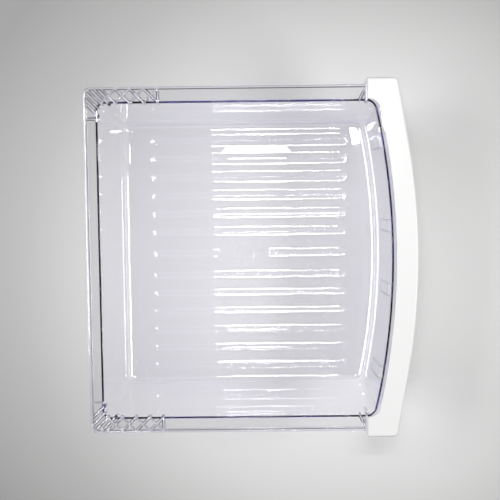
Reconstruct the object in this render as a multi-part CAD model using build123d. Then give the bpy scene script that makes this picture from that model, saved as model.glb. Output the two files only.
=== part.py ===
from build123d import *
from math import asin, atan2, degrees, hypot, radians, sqrt, tan
import os

# Refrigerator deli drawer: a clear moulded pan with a white bowed front.
# Millimetres, Z up, the front towards -Y, the origin under the middle of the footprint.

# Clear pan: walls and floor
height = 130.0
wall = 2.5
floor_thickness = 2.5
rim_width = 354.0
rim_length = 327.5
side_draft = 5.8
rear_draft = 4.7
front_draft = 0.4
bow_radius = 780.0
inside_radius = 8.0
floor_edge_radius = 7.0

# Clear pan: rim flange that hangs on the rails
flange_thickness = 2.5
side_flange = 18.5
rear_flange = 15.8
front_flange = 5.4
skirt_thickness = 2.2
skirt_depth = 12.0
flange_corner_radius = 10.0
flange_edge_radius = 1.4
nub_length = 7.0
nub_height = 1.2
nub_from_end = 17.0
nub_from_top = 2.4

# Clear pan: stiffening lattice in the rear corners of the flange
lattice_thickness = 1.2
lattice_depth = 8.0
lattice_cells = 4
corner_bars = 4
corner_bar_pitch = 4.2
corner_bar_inset = 4.0
rear_wall_from_side = 35.0

# Clear pan: ribs and gate mark on the floor
rib_count_each_side = 6
first_rib_offset = 27.7
rib_side_margin = 20.9
rib_rear_margin = 30.7
rib_front_margin = 33.4
rib_width = 15.5
rib_height = 1.6
rib_crown_flat = 1.5
rib_sink = 0.5
gate_behind_middle = 7.7
gate_diameter = 28.0
gate_height = 0.7
dimple_diameter = 14.0
dimple_depth = 0.5
gate_clearance = 12.7

# Keepers that hold the front to the pan
keeper_offsets = (37.0, 133.0)
keeper_width = 15.0
keeper_height = 50.0
keeper_bottom = 54.0
keeper_wall = 1.5
boss_clearance = 0.3

# White front
front_gap = 0.4
front_reach = 30.7
wing_overhang = 7.5
front_bow_radius = 765.0
front_bow_half = 129.0
wing_length = 33.8
ledge_thickness = 3.0
lip_thickness = 2.8
lip_height = 42.0
lip_edge_radius = 3.0
lip_corner_radius = 5.0
panel_thickness = 2.5
panel_inset = 11.0
panel_bottom = 4.0
panel_corner_radius = 12.0
gusset_thickness = 2.0
gusset_from_panel_end = 14.0

# Places that follow from the sizes above
overall_depth = rear_flange + rim_length + front_reach
flange_rear = overall_depth / 2
rim_rear = flange_rear - rear_flange
rim_front = rim_rear - rim_length
flange_half = rim_width / 2 + side_flange
front_half = flange_half + wing_overhang
panel_offset = front_flange + front_gap
lip_front = -overall_depth / 2
lip_slope_run = sqrt(front_bow_radius**2 - front_bow_half**2)
lip_tangent_y = lip_front + front_bow_radius - lip_slope_run
lip_end_y = lip_tangent_y + (front_half - front_bow_half) * front_bow_half / lip_slope_run
wing_rear = lip_end_y + wing_length
flange_front = wing_rear + front_gap
panel_half = rim_width / 2 - panel_inset
keeper_depth = panel_offset - wall - boss_clearance
floor_top = floor_thickness
inside_height = height - floor_top
floor_half = rim_width / 2 - inside_height * tan(radians(side_draft))
rib_rear = rim_rear - inside_height * tan(radians(rear_draft)) - rib_rear_margin
rib_front = rim_front + inside_height * tan(radians(front_draft)) + rib_front_margin
rib_length = rib_rear - rib_front
rib_middle = (rib_rear + rib_front) / 2
rib_pitch = (floor_half - rib_side_margin - first_rib_offset) / (rib_count_each_side - 1)
gate_y = rib_middle + gate_behind_middle


def plan(z, sides, rear, front):
    """Plan of the pan at height z, each wall moved out from the pan's inner face."""
    below = height - z
    half = rim_width / 2 - below * tan(radians(side_draft)) + sides
    back = rim_rear - below * tan(radians(rear_draft)) + rear
    apex = rim_front + below * tan(radians(front_draft)) - front
    radius = bow_radius + front
    shoulder = apex + radius - sqrt(radius**2 - half**2)
    straight = Polyline((half, shoulder), (half, back), (-half, back), (-half, shoulder))
    bow = ThreePointArc((-half, shoulder), (0, apex), (half, shoulder))
    face = make_face([*straight.edges(), bow.edge()])
    face = fillet(face.vertices(), inside_radius + sides)
    return Pos(0, 0, z) * face


def tub(bottom, grow):
    """Drafted block of the pan's shape from the height given up to the rim."""
    tall = height - bottom
    rim_radius = bow_radius + grow
    foot_radius = rim_radius - tall * tan(radians(front_draft))
    block = Pos(0, rim_front + bow_radius, bottom + tall / 2) * Cone(foot_radius, rim_radius, tall)
    for side in (-1, 1):
        outwards = (side, 0, -tan(radians(side_draft)))
        block = split(block, Plane((side * (rim_width / 2 + grow), 0, height), z_dir=outwards), Keep.BOTTOM)
    outwards = (0, 1, -tan(radians(rear_draft)))
    block = split(block, Plane((0, rim_rear + grow, height), z_dir=outwards), Keep.BOTTOM)
    corners = [edge for edge in block.edges() if abs(edge.center().Z - bottom - tall / 2) < tall / 4]
    block = fillet(corners, inside_radius + grow)
    return fillet(block.edges().group_by(Axis.Z)[0], floor_edge_radius + grow)


def block_between(x0, x1, y0, y1, z0, z1):
    """Box given by its faces."""
    middle = Pos((x0 + x1) / 2, (y0 + y1) / 2, (z0 + z1) / 2)
    return middle * Box(abs(x1 - x0), abs(y1 - y0), abs(z1 - z0))


def rim_flange():
    """Flange along both sides and the rear, with its turned-down skirt."""
    length = flange_rear - flange_front
    middle = Pos(0, (flange_rear + flange_front) / 2)
    top = middle * Rectangle(2 * flange_half, length)
    top = fillet(top.vertices().group_by(Axis.Y)[-1], flange_corner_radius)
    block = extrude(Pos(0, 0, height) * top, -skirt_depth)
    inside = middle * Rectangle(2 * (flange_half - skirt_thickness), length - 2 * skirt_thickness)
    inside = fillet(inside.vertices().group_by(Axis.Y)[-1], flange_corner_radius - skirt_thickness)
    return block - extrude(Pos(0, 0, height - flange_thickness) * inside, -skirt_depth)


def bar(x0, y0, x1, y1):
    """Upright lattice bar under the flange between two points in plan."""
    top = height - flange_thickness / 2
    bottom = height - flange_thickness - lattice_depth
    place = Pos((x0 + x1) / 2, (y0 + y1) / 2, (top + bottom) / 2)
    turn = Rot(0, 0, degrees(atan2(y1 - y0, x1 - x0)))
    return place * turn * Box(hypot(x1 - x0, y1 - y0), lattice_thickness, top - bottom)


def rear_lattice():
    """Crossed bars in the rear end of both side channels and round the corners."""
    inner = rim_width / 2 + wall / 2
    outer = flange_half - skirt_thickness / 2
    cell = outer - inner
    start = rim_rear - inside_radius / 2
    bars = []
    for side in (-1, 1):
        for index in range(lattice_cells):
            near = start - index * cell
            bars.append(bar(side * inner, near, side * outer, near - cell))
            bars.append(bar(side * outer, near, side * inner, near - cell))
        end = start - lattice_cells * cell
        bars.append(bar(side * inner, end, side * outer, end))
        cross = flange_half - rear_wall_from_side
        bars.append(bar(side * cross, rim_rear, side * cross, flange_rear - skirt_thickness / 2))
        for index in range(corner_bars):
            step = (index - (corner_bars - 1) / 2) * corner_bar_pitch
            x0 = inner - corner_bar_inset + step
            y0 = rim_rear - corner_bar_inset - step
            reach = cell - abs(step) / 2
            bars.append(bar(side * x0, y0, side * (x0 + reach), y0 + reach))
        tie = flange_front + skirt_thickness / 2
        bars.append(bar(side * inner, tie + cell / 2, side * outer, tie))
    return bars


def stop_nubs():
    """Small stops on the outside of the skirt near its front end."""
    y0 = flange_front + nub_from_end
    nubs = []
    for side in (-1, 1):
        x0 = flange_half - skirt_thickness / 2
        x1 = flange_half + nub_height
        z0 = height - skirt_depth
        z1 = height - nub_from_top
        nubs.append(block_between(side * x0, side * x1, y0, y0 + nub_length, z0, z1))
    return nubs


def on_bow(x):
    """Place on the pan's front wall, turned square to the bow, X along it and Y inwards."""
    turn = asin(x / bow_radius)
    y = rim_front + bow_radius - sqrt(bow_radius**2 - x**2)
    return Pos(x, y) * Rot(0, 0, degrees(turn))


def keeper_frames():
    """Four frames on the outside of the front wall."""
    z = keeper_bottom + keeper_height / 2
    reach = wall + keeper_depth
    frame = Box(keeper_width, 2 * reach, keeper_height)
    inside = Box(keeper_width - 2 * keeper_wall, 6 * reach, keeper_height - 2 * keeper_wall)
    frame = frame - inside
    return [on_bow(side * x) * Pos(0, 0, z) * frame for x in keeper_offsets for side in (-1, 1)]


def bead(length):
    """Low rib with rounded flanks and ends and a narrow flat crown, its middle at the origin."""
    half = rib_width / 2
    straight = length - rib_width
    flat = rib_crown_flat / 2
    centre = (flat**2 + rib_height**2 - half**2) / (2 * rib_height)
    shoulder = (half + flat) / 2
    rise = centre + sqrt(half**2 + centre**2 - shoulder**2)
    right = ThreePointArc((half, 0), (shoulder, rise), (flat, rib_height))
    crown = Line((flat, rib_height), (-flat, rib_height))
    left = ThreePointArc((-flat, rib_height), (-shoulder, rise), (-half, 0))
    foot = Polyline((-half, 0), (-half, -rib_sink), (half, -rib_sink), (half, 0))
    section = Plane.XZ * make_face([right.edge(), crown.edge(), left.edge(), *foot.edges()])
    body = extrude(section, straight / 2, both=True)
    end = revolve(section & block_between(0, rib_width, -1, 1, -rib_width, rib_width), Axis.Z, 180)
    rear = Pos(0, straight / 2) * end
    front = Pos(0, -straight / 2) * Rot(0, 0, 180) * end
    return body.fuse(rear, front)


def floor_ribs():
    """Ribs along the floor, the middle one broken round the gate mark."""
    ribs = []
    whole = bead(rib_length)
    for index in range(rib_count_each_side):
        x = first_rib_offset + index * rib_pitch
        ribs.append(Pos(x, rib_middle, floor_top) * whole)
        ribs.append(Pos(-x, rib_middle, floor_top) * whole)
    keep_off = gate_diameter / 2 + gate_clearance
    rear_part = rib_rear - gate_y - keep_off
    front_part = gate_y - keep_off - rib_front
    ribs.append(Pos(0, rib_rear - rear_part / 2, floor_top) * bead(rear_part))
    ribs.append(Pos(0, rib_front + front_part / 2, floor_top) * bead(front_part))
    return ribs


def gate_pad():
    """Round pad with a dimple where the pan was filled."""
    pad = Cylinder(gate_diameter / 2, gate_height + rib_sink)
    pad = Pos(0, 0, (gate_height - rib_sink) / 2) * pad
    dimple = Pos(0, 0, gate_height) * Cylinder(dimple_diameter / 2, 2 * dimple_depth)
    return Pos(0, gate_y, floor_top) * (pad - dimple)


def clear_pan():
    """The pan as one moulding."""
    cavity = tub(floor_top, 0)
    lip = extrude(plan(height, wall / 2, wall / 2, front_flange), -flange_thickness)
    body = tub(0, wall) + lip + rim_flange() - cavity
    rim = body.edges().group_by(Axis.Z)[-1]
    outside = [e for e in rim if abs(e.center().X) > flange_half - 5 or e.center().Y > flange_rear - 5]
    body = fillet(outside, flange_edge_radius)
    trimmed = [piece - cavity for piece in rear_lattice() + keeper_frames()]
    return body + trimmed + stop_nubs() + floor_ribs() + gate_pad()


def front_plan(inset):
    """Plan of the white front's outside: straight ends running into a bowed middle."""
    half = front_half
    right = Polyline((front_bow_half, lip_tangent_y), (half, lip_end_y), (half, wing_rear))
    rear = Line((half, wing_rear), (-half, wing_rear))
    left = Polyline((-half, wing_rear), (-half, lip_end_y), (-front_bow_half, lip_tangent_y))
    bow = ThreePointArc((-front_bow_half, lip_tangent_y), (0, lip_front), (front_bow_half, lip_tangent_y))
    face = make_face([*right.edges(), rear.edge(), *left.edges(), bow.edge()])
    ends = [v for v in face.vertices() if abs(v.X) > half - 1 and v.Y < wing_rear - 1]
    face = fillet(ends, lip_corner_radius)
    if inset:
        face = offset(face, -inset)
    return face


def front_panel():
    """Upright panel that follows the pan's front wall."""
    beyond = wall + front_gap
    outer = plan(height, beyond, beyond, panel_offset + panel_thickness)
    inner = plan(height, beyond, beyond, panel_offset)
    strip = extrude(outer - inner, -height)
    tall = height - panel_bottom
    upright = Plane.XZ * Pos(0, panel_bottom + tall / 2) * Rectangle(2 * panel_half, tall)
    upright = fillet(upright.vertices().group_by(Axis.Z)[0], panel_corner_radius)
    return strip & extrude(upright, overall_depth)


def front_bosses():
    """Bosses on the back of the panel that fill the pan's keeper frames."""
    width = keeper_width - 2 * keeper_wall - 2 * boss_clearance
    tall = keeper_height - 2 * keeper_wall - 2 * boss_clearance
    z = keeper_bottom + keeper_height / 2
    thick = keeper_depth + panel_thickness / 2
    boss = Pos(0, thick / 2 - panel_offset - panel_thickness / 2) * Box(width, thick, tall)
    return [on_bow(side * x) * Pos(0, 0, z) * boss for x in keeper_offsets for side in (-1, 1)]


def front_gussets(space):
    """Upright webs near the ends, between the panel and the lip."""
    webs = []
    for side in (-1, 1):
        x0 = side * (panel_half - gusset_from_panel_end)
        x1 = x0 - side * gusset_thickness
        z0 = height - lip_height + lip_thickness
        z1 = height - ledge_thickness / 2
        webs.append(block_between(x0, x1, lip_front, 0, z0, z1) & space)
    return webs


def front_handle():
    """The white front as one moulding."""
    block = extrude(Pos(0, 0, height) * front_plan(0), -lip_height)
    top = [e for e in block.edges().group_by(Axis.Z)[-1] if e.center().Y < wing_rear - 0.5]
    block = fillet(top, lip_edge_radius)
    hollow = extrude(Pos(0, 0, height) * front_plan(lip_thickness), -lip_height)
    roof = block_between(-front_half, front_half, -overall_depth, 0, height - ledge_thickness, height)
    shell = block - (hollow - roof)
    beyond = wall + front_gap
    opening = extrude(plan(height, beyond, overall_depth, panel_offset), -2 * height, both=True)
    shell = shell - opening
    ahead = hollow - extrude(plan(height, beyond, overall_depth, panel_offset + panel_thickness / 2),
                             -2 * height, both=True)
    return shell.fuse(front_panel(), *front_bosses(), *front_gussets(ahead))


def single(shape, label):
    """The one solid of a piece, named."""
    solids = shape.solids()
    if len(solids) != 1:
        raise ValueError(f"{label} is {len(solids)} solids, not one")
    piece = solids[0]
    piece.label = label
    return piece


os.makedirs("parts", exist_ok=True)
for label, make in (("clear_pan", clear_pan), ("front_handle", front_handle)):
    piece = single(make(), label)
    box = piece.bounding_box()
    print(label, "volume", round(piece.volume / 1000, 1), "cm3", box.min, box.max, piece.is_valid)
    export_step(piece, f"parts/{label}.step")
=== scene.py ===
from math import asin, atan2, hypot, pi, radians, sqrt, tan

import bmesh
import bpy
from mathutils import Matrix, Vector


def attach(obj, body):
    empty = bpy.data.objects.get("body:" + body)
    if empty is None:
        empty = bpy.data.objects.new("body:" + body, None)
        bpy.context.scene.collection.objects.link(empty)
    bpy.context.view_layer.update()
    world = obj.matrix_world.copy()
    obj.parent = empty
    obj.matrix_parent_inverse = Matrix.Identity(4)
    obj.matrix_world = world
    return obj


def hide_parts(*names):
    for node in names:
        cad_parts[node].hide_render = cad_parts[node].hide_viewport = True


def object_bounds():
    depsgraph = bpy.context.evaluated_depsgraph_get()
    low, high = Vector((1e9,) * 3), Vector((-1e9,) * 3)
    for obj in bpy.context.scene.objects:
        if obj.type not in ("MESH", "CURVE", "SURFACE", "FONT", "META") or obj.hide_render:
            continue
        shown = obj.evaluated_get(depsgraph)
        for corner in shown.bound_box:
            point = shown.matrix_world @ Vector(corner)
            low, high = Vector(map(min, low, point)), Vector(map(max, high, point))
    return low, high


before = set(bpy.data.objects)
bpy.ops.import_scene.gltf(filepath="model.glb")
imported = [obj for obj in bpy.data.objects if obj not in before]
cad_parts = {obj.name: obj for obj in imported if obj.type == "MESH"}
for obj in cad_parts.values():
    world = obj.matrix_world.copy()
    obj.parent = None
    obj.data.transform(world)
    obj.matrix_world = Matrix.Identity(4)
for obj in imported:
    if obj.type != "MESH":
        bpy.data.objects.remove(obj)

bl_info = {
    "name": "Refrigerator Deli Drawer",
    "version": (1, 0, 0),
    "blender": (4, 5, 0),
    "location": "3D View > Sidebar > Deli Drawer",
    "description": "Models a clear moulded drawer with a white bowed front around its packed frame",
    "category": "Add Mesh",
}

CAD_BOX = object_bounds()
RING_POINTS = 720
TINY = 1e-6
MERGE = 2e-6
SMOOTH_ANGLE = radians(30.0)

# Flange, skirt and corner lattice
SKIRT_FOOT_EDGE = 0.0005
FLANGE_CHAMFER = 0.0013
BAR_FOOT = 0.0017
BAR_FLARE = 0.0009
BAR_DEPTH = 0.008
BAR_BITE = 0.3
BAR_SKIRT_SHARE = 0.86
CELLS = 4
CORNER_BARS = 4
CORNER_BAR_PITCH = 0.0042
REAR_TIE_INSET = 0.035

# Floor ribs and gate pad
RIBS_EACH_SIDE = 6
RIB_CROWN = 0.12
RIB_END_POINTS = 48
ROOT_SHARE = 0.3
GATE_SHIFT = 0.0077
GATE_CLEARANCE = 0.0127
GATE_RISE = 0.0007
GATE_GROOVE = 0.0006

# Keepers, bosses and stops at the front
KEEPERS = (-0.133, -0.037, 0.037, 0.133)
KEEPER_WIDTH = 0.015
KEEPER_HEIGHT = 0.050
KEEPER_BOTTOM = 0.054
KEEPER_WALL = 0.0015
BOSS_CLEARANCE = 0.0003
BOSS_EDGE = 0.0006
STOP_PLACE = 0.017
STOP_LENGTH = 0.007
STOP_PROUD = 0.0012
STOP_DROP = 0.0024
STOP_EDGE = 0.0005

# White front
LIP_FOOT_EDGE = 0.0009
PANEL_SPARE = 0.010
PANEL_OVERLAP = 0.002
WEB_INSET = 0.014
WEB_THICKNESS = 0.002

# Stage
TABLE_SIZE = 6.0
TABLE_DROP = 0.0004
LIGHT_BOUNCES = 32


def length(name, description, default):
    return bpy.props.FloatProperty(name=name, description=description, default=default,
                                   unit="LENGTH", subtype="DISTANCE", precision=4)


def angle(name, description, default):
    return bpy.props.FloatProperty(name=name, description=description, default=radians(default),
                                   unit="ROTATION", subtype="ANGLE")


def colour(name, description, default):
    return bpy.props.FloatVectorProperty(name=name, description=description, default=default,
                                         size=3, min=0.0, max=1.0, subtype="COLOR")


class DrawerPanSizes(bpy.types.PropertyGroup):
    """Sizes of the clear pan."""
    height: length("Height", "Table to rim", CAD_BOX[1].z)
    wall: length("Wall", "Thickness of the walls", 0.0025)
    floor: length("Floor", "Thickness of the floor", 0.0025)
    rim_width: length("Rim width", "Inside width at the rim", 0.354)
    rim_length: length("Rim length", "Inside length at the rim, along the middle", 0.3275)
    side_draft: angle("Side draft", "Lean of the side walls", 5.8)
    rear_draft: angle("Rear draft", "Lean of the rear wall", 4.7)
    front_draft: angle("Front draft", "Lean of the front wall", 0.4)
    bow_radius: length("Bow radius", "Radius of the bowed front wall, inside", 0.780)
    inside_radius: length("Inside radius", "Rounding of the upright corners", 0.008)
    floor_edge: length("Floor edge", "Rounding between the walls and the floor", 0.007)
    flange: length("Flange", "Thickness of the rim flange", 0.0025)
    side_flange: length("Side flange", "Reach of the flange at the sides", 0.0185)
    rear_flange: length("Rear flange", "Reach of the flange at the rear", 0.0158)
    front_flange: length("Front flange", "Reach of the flange at the front", 0.0054)
    skirt: length("Skirt", "Thickness of the turned-down skirt", 0.0022)
    skirt_depth: length("Skirt depth", "Height of the turned-down skirt", 0.012)
    flange_corner: length("Flange corner", "Corner radius of the flange", 0.010)
    flange_edge: length("Flange edge", "Rounding of the flange's outer edge", 0.0019)
    mouth_edge: length("Mouth edge", "Rounding of the rim's inner edge", 0.0010)
    rib_width: length("Rib width", "Width of a floor rib", 0.0155)
    rib_height: length("Rib height", "Height of a floor rib", 0.0016)
    first_rib: length("First rib", "Middle of the drawer to the first rib beside it", 0.0277)
    last_rib: length("Last rib", "Side wall to the outermost rib", 0.0209)
    rib_rear_margin: length("Rib rear margin", "Rear wall to the ribs' ends", 0.0307)
    rib_front_margin: length("Rib front margin", "Front wall to the ribs' ends", 0.0334)
    gate_diameter: length("Gate pad", "Diameter of the round pad on the floor", 0.028)


class DrawerFrontSizes(bpy.types.PropertyGroup):
    """Sizes of the white front."""
    gap: length("Gap", "Clearance to the clear pan", 0.0004)
    reach: length("Reach", "Front wall to the front of the lip", 0.0307)
    overhang: length("Overhang", "How far the wings pass the flange at each side", 0.0075)
    bow_radius: length("Bow radius", "Radius of the lip's bowed middle", 0.765)
    bow_half: length("Bow half", "Half of the bowed middle's width", 0.129)
    wing_length: length("Wing length", "Front to rear at the ends", 0.0338)
    ledge: length("Ledge", "Thickness of the ledge", 0.003)
    lip: length("Lip", "Thickness of the lip", 0.0028)
    lip_height: length("Lip height", "Height of the lip", 0.042)
    lip_edge: length("Lip edge", "Rounding of the lip's upper edge", 0.003)
    lip_corner: length("Lip corner", "Corner radius at the wings", 0.005)
    panel: length("Panel", "Thickness of the panel behind the lip", 0.0025)
    panel_inset: length("Panel inset", "Side wall to the panel's ends", 0.011)
    panel_bottom: length("Panel bottom", "Table to the panel", 0.004)
    panel_corner: length("Panel corner", "Lower corner radius of the panel", 0.012)


class DrawerFinishes(bpy.types.PropertyGroup):
    """Colours of the two mouldings and the stage."""
    tint: colour("Pan tint", "Colour that light takes on inside the clear plastic", (0.42, 0.36, 0.84))
    tint_density: bpy.props.FloatProperty(name="Tint density", default=13.0, min=0.0,
                                          description="Strength of the tint for each metre of plastic")
    white: colour("White", "Colour of the front", (0.65, 0.65, 0.647))
    table: colour("Table", "Colour of the floor under the drawer", (0.70, 0.70, 0.696))


def fresh():
    """Object mode with nothing selected."""
    if bpy.context.object and bpy.context.object.mode != "OBJECT":
        bpy.ops.object.mode_set(mode="OBJECT")
    bpy.ops.object.select_all(action="DESELECT")


def named(name):
    """The primitive just added, named, with its place in its mesh."""
    piece = bpy.context.object
    piece.name = name
    piece.data.name = name
    bpy.ops.object.transform_apply(location=True, rotation=True, scale=True)
    return piece


def edit(piece):
    """Edit mode on one piece."""
    fresh()
    bpy.context.view_layer.objects.active = piece
    piece.select_set(True)
    bpy.ops.object.mode_set(mode="EDIT")


def choose(piece, kind, test):
    """Selects the vertices, edges or faces that the test takes, and counts them."""
    bpy.context.tool_settings.mesh_select_mode = (kind == "verts", kind == "edges", kind == "faces")
    mesh = bmesh.from_edit_mesh(piece.data)
    for group in (mesh.verts, mesh.edges, mesh.faces):
        for element in group:
            element.select = False
    found = [element for element in getattr(mesh, kind) if test(element)]
    for element in found:
        element.select_set(True)
    bmesh.update_edit_mesh(piece.data)
    if not found:
        raise RuntimeError(f"nothing to select on {piece.name}")
    return len(found)


def done():
    bpy.ops.object.mode_set(mode="OBJECT")


def bevel(offset, segments, affect="EDGES", clamp=False):
    bpy.ops.mesh.bevel(offset_type="OFFSET", offset=offset, segments=segments, profile=0.5,
                       affect=affect, clamp_overlap=clamp)


def finished(piece, kind, **settings):
    """Adds a modifier with these settings and applies it."""
    fresh()
    bpy.context.view_layer.objects.active = piece
    piece.select_set(True)
    modifier = piece.modifiers.new(kind.title(), kind)
    for key, value in settings.items():
        setattr(modifier, key, value)
    bpy.ops.object.modifier_apply(modifier=modifier.name)


def combine(piece, tool, operation, overlapping=False):
    """Joins, cuts or trims a piece with another, which is used up."""
    finished(piece, "BOOLEAN", operation=operation, solver="EXACT", use_self=overlapping, object=tool)
    bpy.data.meshes.remove(tool.data)
    if not piece.data.polygons:
        raise RuntimeError(f"{piece.name} came out empty")


def gathered(pieces, name):
    """Several pieces as one."""
    fresh()
    for piece in pieces:
        piece.select_set(True)
    bpy.context.view_layer.objects.active = pieces[0]
    if len(pieces) > 1:
        bpy.ops.object.join()
    pieces[0].name = name
    return pieces[0]


def copy_at(piece, place):
    """A copy with its own mesh, put in place."""
    twin = bpy.data.objects.new(piece.name, piece.data.copy())
    bpy.context.scene.collection.objects.link(twin)
    twin.data.transform(place)
    return twin


def turned(edge):
    """Angle between the faces at an edge."""
    return edge.calc_face_angle(0.0)


def box_between(name, x0, x1, y0, y1, z0, z1, turn=0.0):
    fresh()
    bpy.ops.mesh.primitive_cube_add(size=1.0, location=((x0 + x1) / 2, (y0 + y1) / 2, (z0 + z1) / 2),
                                    rotation=(0.0, 0.0, turn),
                                    scale=(abs(x1 - x0), abs(y1 - y0), abs(z1 - z0)))
    return named(name)


def places(pan, front):
    """Heights and edges that follow from the sizes."""
    depth = pan.rear_flange + pan.rim_length + front.reach
    flange_rear = depth / 2
    rim_rear = flange_rear - pan.rear_flange
    rim_front = rim_rear - pan.rim_length
    flange_half = pan.rim_width / 2 + pan.side_flange
    front_half = flange_half + front.overhang
    lip_front = -depth / 2
    run = sqrt(front.bow_radius**2 - front.bow_half**2)
    tangent_y = lip_front + front.bow_radius - run
    end_y = tangent_y + (front_half - front.bow_half) * front.bow_half / run
    wing_rear = end_y + front.wing_length
    inside = pan.height - pan.floor
    return {
        "flange_rear": flange_rear, "rim_rear": rim_rear, "rim_front": rim_front,
        "flange_half": flange_half, "front_half": front_half, "lip_front": lip_front,
        "tangent_y": tangent_y, "end_y": end_y, "wing_rear": wing_rear,
        "flange_front": wing_rear + front.gap,
        "panel_offset": pan.front_flange + front.gap,
        "panel_half": pan.rim_width / 2 - front.panel_inset,
        "floor_half": pan.rim_width / 2 - inside * tan(pan.side_draft),
        "rib_rear": rim_rear - inside * tan(pan.rear_draft) - pan.rib_rear_margin,
        "rib_front": rim_front + inside * tan(pan.front_draft) + pan.rib_front_margin,
    }


def bowed_block(name, pan, at, bottom, top, sides, rear, front, corner, foot=0.0, draft=1.0):
    """Drafted block with a bowed front, cut from a wide cone by the side and rear planes."""
    fresh()
    middle_y = at["rim_front"] + pan.bow_radius
    radius = pan.bow_radius + front
    lean = draft * tan(pan.front_draft)
    side_lean = draft * tan(pan.side_draft)
    rear_lean = draft * tan(pan.rear_draft)
    bpy.ops.mesh.primitive_cone_add(vertices=RING_POINTS, radius1=radius - (pan.height - bottom) * lean,
                                    radius2=radius - (pan.height - top) * lean, depth=top - bottom,
                                    location=(0.0, middle_y, (top + bottom) / 2))
    piece = named(name)
    edit(piece)
    half = pan.rim_width / 2 + sides
    planes = [((side * half, 0.0, pan.height), (side, 0.0, -side_lean)) for side in (-1, 1)]
    planes.append(((0.0, at["rim_rear"] + rear, pan.height), (0.0, 1.0, -rear_lean)))
    for point, outwards in planes:
        bpy.ops.mesh.select_all(action="SELECT")
        bpy.ops.mesh.bisect(plane_co=point, plane_no=outwards, use_fill=True, clear_outer=True,
                            threshold=TINY)
    if corner:
        low_half = half - (pan.height - bottom) * side_lean
        near = low_half - corner * 1.6
        choose(piece, "edges", lambda e: turned(e) < radians(3) and abs(e.verts[0].co.x) > near)
        bpy.ops.mesh.dissolve_edges(use_verts=True)

        def upright(edge):
            return turned(edge) > radians(30) and abs(edge.verts[0].co.z - edge.verts[1].co.z) > TINY

        choose(piece, "edges", upright)
        bevel(corner, 8)
    if foot:
        choose(piece, "edges", lambda e: all(v.co.z < bottom + TINY for v in e.verts))
        bevel(foot, 8)
    done()
    return piece


def flange_tray(pan, at):
    """Rim flange with its skirt turned down all round, as an upturned tray."""
    tray = box_between("flange_tray", -at["flange_half"], at["flange_half"], at["flange_front"],
                       at["flange_rear"], pan.height - pan.skirt_depth, pan.height)
    edit(tray)

    def rear_upright(edge):
        a, b = edge.verts
        return abs(a.co.z - b.co.z) > pan.skirt_depth / 2 and a.co.y > at["flange_rear"] - TINY

    choose(tray, "edges", rear_upright)
    bevel(pan.flange_corner, 8)
    choose(tray, "faces", lambda f: f.normal.z < -0.9)
    bpy.ops.mesh.inset(thickness=pan.skirt, depth=0.0, use_even_offset=True)
    bpy.ops.mesh.extrude_region_move(
        TRANSFORM_OT_translate={"value": (0.0, 0.0, pan.skirt_depth - pan.flange)})

    def upper_outside(edge):
        return (all(v.co.z > pan.height - TINY for v in edge.verts)
                and any(v.co.y > at["flange_front"] + TINY for v in edge.verts))

    choose(tray, "edges", upper_outside)
    bevel(pan.flange_edge, 4)
    low = pan.height - pan.skirt_depth
    choose(tray, "edges", lambda e: all(v.co.z < low + TINY for v in e.verts))
    bevel(SKIRT_FOOT_EDGE, 2)
    under = pan.height - pan.flange
    choose(tray, "edges", lambda e: all(abs(v.co.z - under) < TINY for v in e.verts))
    bevel(FLANGE_CHAMFER, 1)
    done()
    return tray


def mouth_rounding(body, pan, at):
    """Rolls over the inner edge of the open mouth."""
    middle = Vector((0.0, (at["rim_rear"] + at["rim_front"]) / 2))
    edit(body)

    def inner_rim(edge):
        if any(v.co.z < pan.height - TINY for v in edge.verts):
            return False
        inwards = middle - ((edge.verts[0].co + edge.verts[1].co) / 2).xy
        return any(abs(f.normal.z) < 0.5 and f.normal.xy.dot(inwards) > 0.0 for f in edge.link_faces)

    choose(body, "edges", inner_rim)
    bevel(pan.mouth_edge, 4)
    done()


def lattice_bar(tall, root):
    """Upright bar one metre long, chamfered where it meets the flange and rounded along its foot."""
    bar = box_between("bar", -0.5, 0.5, -BAR_FOOT / 2, BAR_FOOT / 2, -tall / 2,
                      tall / 2 - root - BAR_FLARE)
    edit(bar)
    choose(bar, "faces", lambda f: f.normal.z < -0.9)
    bpy.ops.transform.resize(value=(1.0, 0.75, 1.0), center_override=(0.0, 0.0, -tall / 2))
    choose(bar, "faces", lambda f: f.normal.z > 0.9)
    bpy.ops.mesh.extrude_region_move(TRANSFORM_OT_translate={"value": (0.0, 0.0, BAR_FLARE)})
    bpy.ops.transform.resize(value=(1.0, 1.0 + 2 * BAR_FLARE / BAR_FOOT, 1.0),
                             center_override=(0.0, 0.0, 0.0))
    bpy.ops.mesh.extrude_region_move(TRANSFORM_OT_translate={"value": (0.0, 0.0, root)})
    choose(bar, "edges", lambda e: abs(e.verts[0].co.x - e.verts[1].co.x) > 0.5
           and all(v.co.z < -tall / 2 + TINY for v in e.verts))
    bevel(BAR_FOOT * 0.3, 3)
    done()
    return bar


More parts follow.
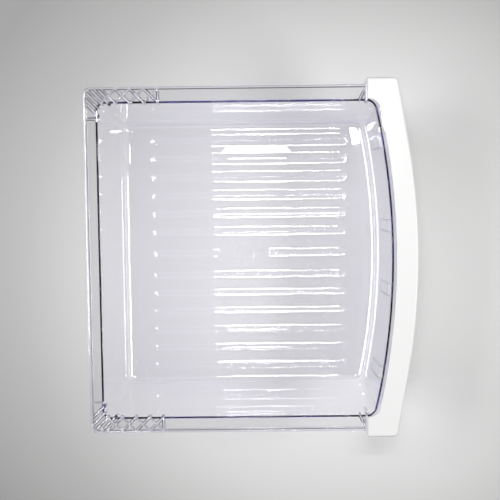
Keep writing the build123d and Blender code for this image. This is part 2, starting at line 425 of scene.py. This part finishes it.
def corner_lattice(pan, at):
    """Crossed stiffening bars in the rear ends of the channels, and the ties at their front ends."""
    bite = pan.wall * BAR_BITE
    inner = pan.rim_width / 2 + bite
    outer = at["flange_half"] - pan.skirt * BAR_SKIRT_SHARE
    back = at["flange_rear"] - pan.skirt * BAR_SKIRT_SHARE
    cell = outer - inner
    start = at["rim_rear"] - pan.inside_radius / 2
    top = pan.height - pan.flange / 2
    bottom = pan.height - pan.flange - BAR_DEPTH
    runs = []
    for side in (-1, 1):
        for index in range(CELLS):
            near = start - index * cell
            runs.append((side * inner, near, side * outer, near - cell))
            runs.append((side * outer, near, side * inner, near - cell))
        end = start - CELLS * cell
        runs.append((side * inner, end, side * outer, end))
        cross = at["flange_half"] - REAR_TIE_INSET
        runs.append((side * cross, at["rim_rear"] + bite, side * cross, back))
        arc = pan.inside_radius + bite
        for index in range(CORNER_BARS):
            offset = (index - (CORNER_BARS - 1) / 2) * CORNER_BAR_PITCH * sqrt(2.0)
            along = sqrt(max(arc**2 - offset**2, 0.0))
            x0 = pan.rim_width / 2 - pan.inside_radius + (along + offset) / sqrt(2.0)
            y0 = at["rim_rear"] - pan.inside_radius + (along - offset) / sqrt(2.0)
            reach = min(outer - x0, back - y0)
            runs.append((side * x0, y0, side * (x0 + reach), y0 + reach))
        tie = at["flange_front"] + pan.skirt / 2
        runs.append((side * inner, tie + cell / 2, side * outer, tie))
    bar = lattice_bar(top - bottom, pan.flange / 2)
    bars = []
    for x0, y0, x1, y1 in runs:
        place = Matrix.Translation(((x0 + x1) / 2, (y0 + y1) / 2, (top + bottom) / 2))
        turn = Matrix.Rotation(atan2(y1 - y0, x1 - x0), 4, "Z")
        stretch = Matrix.Diagonal((hypot(x1 - x0, y1 - y0), 1.0, 1.0, 1.0))
        bars.append(copy_at(bar, place @ turn @ stretch))
    bpy.data.meshes.remove(bar.data)
    return gathered(bars, "lattice")


def on_bow(pan, at, x):
    """Place on the front wall's inner face, turned square to the bow, with Y pointing inwards."""
    turn = asin(x / pan.bow_radius)
    y = at["rim_front"] + pan.bow_radius - sqrt(pan.bow_radius**2 - x**2)
    return Matrix.Translation((x, y, 0.0)) @ Matrix.Rotation(turn, 4, "Z")


def keeper_frames(pan, at):
    """Four open frames on the outside of the front wall."""
    depth = at["panel_offset"] - BOSS_CLEARANCE
    frame_piece = box_between("keeper", -KEEPER_WIDTH / 2, KEEPER_WIDTH / 2, -depth, pan.wall * -0.5,
                              KEEPER_BOTTOM, KEEPER_BOTTOM + KEEPER_HEIGHT)
    edit(frame_piece)
    choose(frame_piece, "faces", lambda f: abs(f.normal.y) > 0.9)
    bpy.ops.mesh.inset(thickness=KEEPER_WALL, depth=0.0, use_even_offset=True)
    bpy.ops.mesh.bridge_edge_loops()
    done()
    copies = [copy_at(frame_piece, on_bow(pan, at, x)) for x in KEEPERS]
    bpy.data.meshes.remove(frame_piece.data)
    return gathered(copies, "keepers")


def rib_rise(share):
    """Height of a rib's section, from 0 at its foot to 1 at its crown: hollow flanks, narrow crown."""
    if share < 1.0 - RIB_CROWN:
        return share**2 / (1.0 - RIB_CROWN)
    return 1.0 - (1.0 - share) ** 2 / RIB_CROWN


def floor_rib(pan, run):
    """Low rib with rounded ends that swells from a hollow foot to a narrow crown, standing on Z = 0."""
    fresh()
    half = pan.rib_width / 2
    sink = pan.floor * ROOT_SHARE
    bpy.ops.mesh.primitive_circle_add(vertices=RIB_END_POINTS, radius=half, fill_type="NGON",
                                      location=(0.0, 0.0, -sink),
                                      rotation=(0.0, 0.0, pi / RIB_END_POINTS))
    rib = named("rib")
    edit(rib)
    straight = run / 2 - half
    for way in (-1, 1):
        choose(rib, "verts", lambda v: v.co.y * way > TINY)
        bpy.ops.transform.translate(value=(0.0, way * straight, 0.0))
    bpy.ops.mesh.select_all(action="SELECT")
    bpy.ops.mesh.extrude_region_move(TRANSFORM_OT_translate={"value": (0.0, 0.0, sink)})
    bpy.ops.mesh.select_all(action="SELECT")
    bpy.ops.mesh.normals_make_consistent(inside=False)
    choose(rib, "faces", lambda f: f.normal.z > 0.99)
    shares = [(1.0 - RIB_CROWN) * step / 11 for step in range(12)]
    shares += [1.0 - RIB_CROWN * (1.0 - step / 6) for step in range(1, 4)]
    for low, high in zip(shares, shares[1:]):
        bpy.ops.mesh.inset(thickness=half * (high - low), use_even_offset=True,
                           depth=(rib_rise(high) - rib_rise(low)) * pan.rib_height)
    done()
    return rib


def floor_ribs(pan, at):
    """Thirteen ribs along the floor, the middle one broken round the gate pad."""
    middle = (at["rib_rear"] + at["rib_front"]) / 2
    gate_y = middle + GATE_SHIFT
    pitch = (at["floor_half"] - pan.last_rib - pan.first_rib) / (RIBS_EACH_SIDE - 1)
    whole = floor_rib(pan, at["rib_rear"] - at["rib_front"])
    ribs = []
    for index in range(RIBS_EACH_SIDE):
        for side in (-1, 1):
            x = side * (pan.first_rib + index * pitch)
            ribs.append(copy_at(whole, Matrix.Translation((x, middle, pan.floor))))
    bpy.data.meshes.remove(whole.data)
    keep_off = pan.gate_diameter / 2 + GATE_CLEARANCE
    for low, high in ((at["rib_front"], gate_y - keep_off), (gate_y + keep_off, at["rib_rear"])):
        part = floor_rib(pan, high - low)
        part.data.transform(Matrix.Translation((0.0, (low + high) / 2, pan.floor)))
        ribs.append(part)
    ribs.append(gate_pad(pan, gate_y))
    return gathered(ribs, "ribs")


def gate_pad(pan, y):
    """Round pad with a groove, a dimple and a cut-off sprue point."""
    fresh()
    sink = pan.floor * ROOT_SHARE
    bpy.ops.mesh.primitive_cylinder_add(vertices=64, radius=pan.gate_diameter / 2,
                                        depth=GATE_RISE + sink,
                                        location=(0.0, y, pan.floor + (GATE_RISE - sink) / 2))
    pad = named("gate_pad")
    edit(pad)
    choose(pad, "edges", lambda e: all(v.co.z > pan.floor + GATE_RISE - TINY for v in e.verts))
    bevel(0.0005, 3)
    choose(pad, "faces", lambda f: f.normal.z > 0.99 and len(f.verts) > 20)
    bpy.ops.mesh.inset(thickness=GATE_GROOVE, depth=0.0)
    bpy.ops.mesh.inset(thickness=GATE_GROOVE, depth=-GATE_GROOVE)
    bpy.ops.mesh.inset(thickness=GATE_GROOVE, depth=GATE_GROOVE)
    bpy.ops.mesh.inset(thickness=pan.gate_diameter * 0.18, depth=0.0)
    bpy.ops.mesh.inset(thickness=0.0008, depth=-0.0005)
    bpy.ops.mesh.inset(thickness=pan.gate_diameter * 0.15, depth=0.0)
    bpy.ops.mesh.inset(thickness=0.0004, depth=0.0003)
    done()
    return pad


def stop_nubs(pan, at):
    """Small stops on the skirt near its front end."""
    y0 = at["flange_front"] + STOP_PLACE
    nubs = []
    for side in (-1, 1):
        nub = box_between("nub", side * (at["flange_half"] - pan.skirt / 2),
                          side * (at["flange_half"] + STOP_PROUD), y0, y0 + STOP_LENGTH,
                          pan.height - pan.skirt_depth, pan.height - STOP_DROP)
        edit(nub)
        choose(nub, "edges", lambda e: all(abs(v.co.x) > at["flange_half"] + TINY for v in e.verts))
        bevel(STOP_EDGE, 2)
        done()
        nubs.append(nub)
    return gathered(nubs, "nubs")


def clean(piece):
    """Merged, tidied and smoothly shaded."""
    edit(piece)
    bpy.ops.mesh.select_all(action="SELECT")
    bpy.ops.mesh.remove_doubles(threshold=MERGE)
    bpy.ops.mesh.dissolve_degenerate(threshold=MERGE)
    bpy.ops.mesh.select_all(action="SELECT")
    bpy.ops.mesh.fill_holes(sides=4)
    done()
    fresh()
    bpy.context.view_layer.objects.active = piece
    piece.select_set(True)
    bpy.ops.object.shade_smooth_by_angle(angle=SMOOTH_ANGLE)
    finished(piece, "WEIGHTED_NORMAL", keep_sharp=True, weight=60)


def node_tree(name):
    material = bpy.data.materials.new(name)
    material.use_nodes = True
    nodes = material.node_tree.nodes
    return material, nodes, material.node_tree.links, nodes["Principled BSDF"], nodes["Material Output"]


def clear_plastic(finish):
    """Clear plastic with a violet toner and the faint waviness of a moulded face."""
    material, nodes, links, plastic, output = node_tree("clear_plastic")
    plastic.inputs["Base Color"].default_value = (1.0, 1.0, 1.0, 1.0)
    plastic.inputs["Roughness"].default_value = 0.0
    plastic.inputs["IOR"].default_value = 1.57
    plastic.inputs["Transmission Weight"].default_value = 1.0
    plastic.inputs["Coat Weight"].default_value = 0.2
    plastic.inputs["Coat Roughness"].default_value = 0.0
    plastic.inputs["Coat IOR"].default_value = 1.7
    place = nodes.new("ShaderNodeTexCoord")
    wave = nodes.new("ShaderNodeTexNoise")
    wave.inputs["Scale"].default_value = 55.0
    wave.inputs["Detail"].default_value = 1.0
    bump = nodes.new("ShaderNodeBump")
    bump.inputs["Strength"].default_value = 0.006
    bump.inputs["Distance"].default_value = 0.001
    links.new(place.outputs["Object"], wave.inputs["Vector"])
    links.new(wave.outputs["Fac"], bump.inputs["Height"])
    links.new(bump.outputs["Normal"], plastic.inputs["Normal"])
    absorb = nodes.new("ShaderNodeVolumeAbsorption")
    absorb.inputs["Color"].default_value = (*finish.tint, 1.0)
    absorb.inputs["Density"].default_value = finish.tint_density
    links.new(absorb.outputs["Volume"], output.inputs["Volume"])
    through = nodes.new("ShaderNodeBsdfTransparent")
    through.inputs["Color"].default_value = (0.985, 0.985, 0.99, 1.0)
    rays = nodes.new("ShaderNodeLightPath")
    bounced = nodes.new("ShaderNodeMixShader")
    links.new(rays.outputs["Is Diffuse Ray"], bounced.inputs["Fac"])
    links.new(plastic.outputs["BSDF"], bounced.inputs[1])
    links.new(through.outputs["BSDF"], bounced.inputs[2])
    shadow = nodes.new("ShaderNodeMixShader")
    links.new(rays.outputs["Is Shadow Ray"], shadow.inputs["Fac"])
    links.new(bounced.outputs["Shader"], shadow.inputs[1])
    links.new(through.outputs["BSDF"], shadow.inputs[2])
    links.new(shadow.outputs["Shader"], output.inputs["Surface"])
    return material


def white_plastic(finish):
    """White moulded plastic with a faint satin grain."""
    material, nodes, links, plastic, output = node_tree("white_plastic")
    plastic.inputs["Base Color"].default_value = (*finish.white, 1.0)
    plastic.inputs["Roughness"].default_value = 0.35
    place = nodes.new("ShaderNodeTexCoord")
    grain = nodes.new("ShaderNodeTexNoise")
    grain.inputs["Scale"].default_value = 1800.0
    grain.inputs["Detail"].default_value = 2.0
    bump = nodes.new("ShaderNodeBump")
    bump.inputs["Strength"].default_value = 0.05
    bump.inputs["Distance"].default_value = 0.0002
    links.new(place.outputs["Object"], grain.inputs["Vector"])
    links.new(grain.outputs["Fac"], bump.inputs["Height"])
    links.new(bump.outputs["Normal"], plastic.inputs["Normal"])
    return material


class DRAWER_OT_clear_pan(bpy.types.Operator):
    """Model the clear pan with its flange, lattice, keepers and floor ribs"""
    bl_idname = "drawer.clear_pan"
    bl_label = "Clear Pan"

    def execute(self, context):
        pan = context.scene.drawer_pan
        at = places(pan, context.scene.drawer_front)
        body = bowed_block("clear_moulding", pan, at, 0.0, pan.height - pan.flange / 2, pan.wall,
                           pan.wall, pan.wall, pan.inside_radius + pan.wall, pan.floor_edge + pan.wall)
        combine(body, flange_tray(pan, at), "UNION")
        lip = bowed_block("front_rim", pan, at, pan.height - pan.flange, pan.height, pan.wall / 2,
                          pan.wall / 2, pan.front_flange, pan.inside_radius + pan.wall / 2)
        combine(body, lip, "UNION")
        cavity = bowed_block("cavity", pan, at, pan.floor, pan.height + 0.010, 0.0, 0.0, 0.0,
                             pan.inside_radius, pan.floor_edge)
        combine(body, cavity, "DIFFERENCE")
        mouth_rounding(body, pan, at)
        combine(body, floor_ribs(pan, at), "UNION")
        combine(body, corner_lattice(pan, at), "UNION", overlapping=True)
        combine(body, keeper_frames(pan, at), "UNION")
        combine(body, stop_nubs(pan, at), "UNION")
        clean(body)
        body.data.materials.clear()
        body.data.materials.append(clear_plastic(context.scene.drawer_finish))
        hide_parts("clear_pan")
        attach(body, "root")
        return {"FINISHED"}


def lip_shell(pan, front, at):
    """Ledge, lip and wings of the front, hollow from below."""
    fresh()
    bpy.ops.mesh.primitive_circle_add(vertices=RING_POINTS, radius=front.bow_radius, fill_type="NOTHING",
                                      location=(0.0, at["lip_front"] + front.bow_radius, pan.height))
    shell = named("white_moulding")
    edit(shell)
    choose(shell, "verts", lambda v: abs(v.co.x) > front.bow_half or v.co.y > 0.0)
    bpy.ops.mesh.delete(type="VERT")
    for side in (-1, 1):
        last = max((v.co.copy() for v in bmesh.from_edit_mesh(shell.data).verts), key=lambda c: side * c.x)
        choose(shell, "verts", lambda v: (v.co - last).length < TINY)
        bpy.ops.mesh.extrude_vertices_move(TRANSFORM_OT_translate={
            "value": (side * at["front_half"] - last.x, at["end_y"] - last.y, 0.0)})
        bpy.ops.mesh.extrude_vertices_move(TRANSFORM_OT_translate={"value": (0.0, front.wing_length, 0.0)})
    choose(shell, "verts", lambda v: v.co.y > at["wing_rear"] - TINY)
    bpy.ops.mesh.edge_face_add()
    bpy.ops.mesh.select_all(action="SELECT")
    bpy.ops.mesh.edge_face_add()
    choose(shell, "verts", lambda v: abs(v.co.x) > at["front_half"] - TINY and v.co.y < at["end_y"] + TINY)
    bevel(front.lip_corner, 6, affect="VERTICES")
    bpy.ops.mesh.select_all(action="SELECT")
    bpy.ops.mesh.extrude_region_move(TRANSFORM_OT_translate={"value": (0.0, 0.0, -front.lip_height)})
    bpy.ops.mesh.select_all(action="SELECT")
    bpy.ops.mesh.normals_make_consistent(inside=False)
    choose(shell, "faces", lambda f: f.normal.z < -0.9)
    bpy.ops.mesh.inset(thickness=front.lip, depth=0.0, use_even_offset=True)
    bpy.ops.mesh.extrude_region_move(
        TRANSFORM_OT_translate={"value": (0.0, 0.0, front.lip_height - front.ledge)})

    def upper_outside(edge):
        return (all(v.co.z > pan.height - TINY for v in edge.verts)
                and any(v.co.y < at["wing_rear"] - TINY for v in edge.verts))

    choose(shell, "edges", upper_outside)
    bevel(front.lip_edge, 6)
    low = pan.height - front.lip_height
    choose(shell, "edges", lambda e: all(v.co.z < low + TINY for v in e.verts))
    bevel(LIP_FOOT_EDGE, 3)
    done()
    return shell


def back_panel(pan, front, at):
    """Bowed upright panel behind the lip, with rounded lower corners."""
    fresh()
    half = at["panel_half"]
    radius = pan.bow_radius + at["panel_offset"] + front.panel
    bpy.ops.mesh.primitive_circle_add(vertices=RING_POINTS, radius=radius, fill_type="NOTHING",
                                      location=(0.0, at["rim_front"] + pan.bow_radius, front.panel_bottom))
    panel = named("back_panel")
    edit(panel)
    choose(panel, "verts", lambda v: abs(v.co.x) > half + PANEL_SPARE or v.co.y > 0.0)
    bpy.ops.mesh.delete(type="VERT")
    bpy.ops.mesh.select_all(action="SELECT")
    tall = pan.height - front.ledge / 2 - front.panel_bottom
    bpy.ops.mesh.extrude_region_move(TRANSFORM_OT_translate={"value": (0.0, 0.0, tall)})
    faces = bmesh.from_edit_mesh(panel.data).faces
    choose(panel, "faces", lambda f: True)
    if sum(f.normal.y for f in faces) > 0.0:
        bpy.ops.mesh.flip_normals()
    done()
    finished(panel, "SOLIDIFY", thickness=front.panel + PANEL_OVERLAP, offset=-1.0, use_even_offset=True)
    edit(panel)
    for side in (-1, 1):
        bpy.ops.mesh.select_all(action="SELECT")
        bpy.ops.mesh.bisect(plane_co=(side * half, 0.0, 0.0), plane_no=(side, 0.0, 0.0), use_fill=True,
                            clear_outer=True, threshold=TINY)
    near = half - front.panel_corner * 1.3
    choose(panel, "edges", lambda e: turned(e) < radians(3) and all(near < abs(v.co.x) < half - TINY
                                                                   for v in e.verts))
    bpy.ops.mesh.dissolve_edges(use_verts=True)

    def lower_corner(edge):
        a, b = edge.verts
        return (abs(a.co.y - b.co.y) > front.panel and max(a.co.z, b.co.z) < front.panel_bottom + TINY
                and min(abs(a.co.x), abs(b.co.x)) > half - TINY)

    choose(panel, "edges", lower_corner)
    bevel(front.panel_corner, 8)
    done()
    return panel


def gussets(pan, front, at):
    """Upright webs near the ends, between the panel and the lip."""
    webs = []
    for side in (-1, 1):
        x0 = side * (at["panel_half"] - WEB_INSET)
        x1 = x0 - side * WEB_THICKNESS
        bow = pan.bow_radius + at["panel_offset"] + front.panel / 2
        rear = at["rim_front"] + pan.bow_radius - sqrt(bow**2 - x0**2)
        slope = (at["end_y"] - at["tangent_y"]) / (at["front_half"] - front.bow_half)
        ahead = at["tangent_y"] + (abs(x0) - front.bow_half) * slope + front.lip * 0.6
        webs.append(box_between("web", x0, x1, ahead, rear, pan.height - front.lip_height + front.lip,
                                pan.height - front.ledge / 2))
    return gathered(webs, "webs")


def bosses(pan, front, at):
    """Bosses on the panel that fill the clear pan's keepers."""
    width = KEEPER_WIDTH - 2 * KEEPER_WALL - 2 * BOSS_CLEARANCE
    tall = KEEPER_HEIGHT - 2 * KEEPER_WALL - 2 * BOSS_CLEARANCE
    bottom = KEEPER_BOTTOM + KEEPER_WALL + BOSS_CLEARANCE
    boss = box_between("boss", -width / 2, width / 2, -at["panel_offset"] - front.panel / 2,
                       -pan.wall - BOSS_CLEARANCE, bottom, bottom + tall)
    edit(boss)
    choose(boss, "edges", lambda e: all(v.co.y > -pan.wall - BOSS_CLEARANCE - TINY for v in e.verts))
    bevel(BOSS_EDGE, 2)
    done()
    copies = [copy_at(boss, on_bow(pan, at, x)) for x in KEEPERS]
    bpy.data.meshes.remove(boss.data)
    return gathered(copies, "bosses")


class DRAWER_OT_white_front(bpy.types.Operator):
    """Model the white front with its lip, wings, panel and bosses"""
    bl_idname = "drawer.white_front"
    bl_label = "White Front"

    def execute(self, context):
        pan = context.scene.drawer_pan
        front = context.scene.drawer_front
        at = places(pan, front)
        shell = lip_shell(pan, front, at)
        combine(shell, back_panel(pan, front, at), "UNION")
        combine(shell, gussets(pan, front, at), "UNION")
        beyond = pan.wall + front.gap
        opening = bowed_block("opening", pan, at, -0.020, pan.height + 0.020, beyond, 0.2,
                              at["panel_offset"], pan.inside_radius + beyond, draft=0.0)
        combine(shell, opening, "DIFFERENCE")
        combine(shell, bosses(pan, front, at), "UNION")
        clean(shell)
        shell.data.materials.clear()
        shell.data.materials.append(white_plastic(context.scene.drawer_finish))
        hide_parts("front_handle")
        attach(shell, "root")
        return {"FINISHED"}


def photo_camera():
    """Camera over the open mouth, with the drawer's front at the right of the picture."""
    camera = bpy.data.cameras.new("camera")
    holder = bpy.data.objects.new("camera", camera)
    bpy.context.scene.collection.objects.link(holder)
    camera.sensor_width = 36.0
    camera.lens = 59.40
    tilt = Matrix.Rotation(radians(0.615), 3, "Z") @ Matrix.Rotation(radians(-0.289), 3, "Y")
    tilt = tilt @ Matrix.Rotation(radians(3.958), 3, "X")
    base = Matrix(((0.0, -1.0, 0.0), (1.0, 0.0, 0.0), (0.0, 0.0, 1.0)))
    turn = (tilt @ base).transposed()
    holder.matrix_world = Matrix.Translation((0.07653, -0.00162, 1.05389)) @ turn.to_4x4()
    camera.clip_start = 0.05
    camera.clip_end = 50.0
    bpy.context.scene.camera = holder


def lamp(name, place, aim, size, watts, shape="RECTANGLE"):
    """Soft box lamp of this size, aimed at a point."""
    light = bpy.data.lights.new(name, "AREA")
    light.shape = shape
    light.size, light.size_y = size
    light.energy = watts
    holder = bpy.data.objects.new(name, light)
    bpy.context.scene.collection.objects.link(holder)
    holder.location = place
    holder.rotation_mode = "QUATERNION"
    holder.rotation_quaternion = (Vector(aim) - Vector(place)).to_track_quat("-Z", "Y")
    holder.visible_camera = False


def studio_sky(world):
    """Soft light from all round that falls off towards the horizon and straight overhead."""
    world.use_nodes = True
    nodes = world.node_tree.nodes
    links = world.node_tree.links
    sky = nodes["Background"]
    place = nodes.new("ShaderNodeTexCoord")
    split = nodes.new("ShaderNodeSeparateXYZ")
    fall = nodes.new("ShaderNodeValToRGB")
    links.new(place.outputs["Generated"], split.inputs["Vector"])
    links.new(split.outputs["Z"], fall.inputs["Fac"])
    ramp = fall.color_ramp
    for stop in (0.45, 0.75):
        ramp.elements.new(stop)
    for mark, share in zip(ramp.elements, (0.30, 1.0, 1.0, 0.10)):
        mark.color = (share, share, share, 1.0)
    links.new(fall.outputs["Color"], sky.inputs["Color"])
    sky.inputs["Strength"].default_value = 0.45


def table_painted_light_pool(finish):
    """Pale floor with a painted pool of light: brightest at one place in front of the drawer, with painted
    shade that darkens it further out in place of the studio light's fall-off.
    """
    material, nodes, links, surface, output = node_tree("table")
    surface.inputs["Roughness"].default_value = 0.8
    place = nodes.new("ShaderNodeTexCoord")
    # Centre of the painted pool of light, in front of the drawer.
    shift = nodes.new("ShaderNodeMapping")
    shift.inputs["Location"].default_value = (0.047, 0.124, 0.0)
    reach = nodes.new("ShaderNodeVectorMath")
    reach.operation = "LENGTH"
    painted_light_fade = nodes.new("ShaderNodeValToRGB")
    links.new(place.outputs["Object"], shift.inputs["Vector"])
    links.new(shift.outputs["Vector"], reach.inputs[0])
    links.new(reach.outputs["Value"], painted_light_fade.inputs["Fac"])
    ramp = painted_light_fade.color_ramp
    # Painted shade: the floor colour falls from full at the pool's centre to 35 percent further out.
    for stop in (0.28, 0.42, 0.54):
        ramp.elements.new(stop)
    ramp.elements[0].position = 0.12
    for mark, share in zip(ramp.elements, (1.0, 0.78, 0.50, 0.35, 0.35)):
        mark.color = (*(share * tone for tone in finish.table), 1.0)
    links.new(painted_light_fade.outputs["Color"], surface.inputs["Base Color"])
    return material


class DRAWER_OT_stage(bpy.types.Operator):
    """Set up the table, the soft lights and the camera"""
    bl_idname = "drawer.stage"
    bl_label = "Stage"

    def execute(self, context):
        finish = context.scene.drawer_finish
        fresh()
        bpy.ops.mesh.primitive_grid_add(x_subdivisions=2, y_subdivisions=2, size=TABLE_SIZE,
                                        location=(0.0, 0.0, -TABLE_DROP))
        table = named("table_top")
        table.data.materials.append(table_painted_light_pool(finish))
        world = bpy.data.worlds.new("studio")
        context.scene.world = world
        studio_sky(world)
        lamp("soft_box", (0.178, -0.010, 1.05), (0.178, -0.010, 0.0), (0.05, 0.17), 0.8, "ELLIPSE")
        lamp("strip", (0.2535, -0.060, 1.05), (0.2535, -0.060, 0.0), (0.034, 0.325), 2.8)
        lamp("rear_box", (0.15, 0.95, 0.95), (0.0, 0.0, 0.05), (0.90, 0.70), 14.0)
        lamp("front_box", (-0.165, -1.10, 0.95), (0.0, 0.0, 0.05), (0.60, 0.35), 9.5)
        context.scene.view_settings.view_transform = "Standard"
        context.scene.cycles.max_bounces = LIGHT_BOUNCES
        context.scene.cycles.transmission_bounces = LIGHT_BOUNCES
        context.scene.cycles.glossy_bounces = LIGHT_BOUNCES
        context.scene.cycles.transparent_max_bounces = LIGHT_BOUNCES
        context.scene.cycles.sample_clamp_indirect = 0.0
        photo_camera()
        return {"FINISHED"}


class DRAWER_PT_sidebar(bpy.types.Panel):
    """Deli drawer tools"""
    bl_label = "Deli Drawer"
    bl_idname = "DRAWER_PT_sidebar"
    bl_space_type = "VIEW_3D"
    bl_region_type = "UI"
    bl_category = "Deli Drawer"

    def draw(self, context):
        for operator in OPERATORS:
            self.layout.operator(operator.bl_idname)
        for group in (context.scene.drawer_pan, context.scene.drawer_front, context.scene.drawer_finish):
            box = self.layout.box()
            for key in group.__annotations__:
                box.prop(group, key)


OPERATORS = (DRAWER_OT_clear_pan, DRAWER_OT_white_front, DRAWER_OT_stage)
CLASSES = (DrawerPanSizes, DrawerFrontSizes, DrawerFinishes, *OPERATORS, DRAWER_PT_sidebar)


def register():
    for item in CLASSES:
        bpy.utils.register_class(item)
    bpy.types.Scene.drawer_pan = bpy.props.PointerProperty(type=DrawerPanSizes)
    bpy.types.Scene.drawer_front = bpy.props.PointerProperty(type=DrawerFrontSizes)
    bpy.types.Scene.drawer_finish = bpy.props.PointerProperty(type=DrawerFinishes)


def unregister():
    del bpy.types.Scene.drawer_finish
    del bpy.types.Scene.drawer_front
    del bpy.types.Scene.drawer_pan
    for item in reversed(CLASSES):
        bpy.utils.unregister_class(item)


def main():
    register()
    bpy.ops.drawer.clear_pan()
    bpy.ops.drawer.white_front()
    bpy.ops.drawer.stage()


if __name__ == "__main__":
    main()
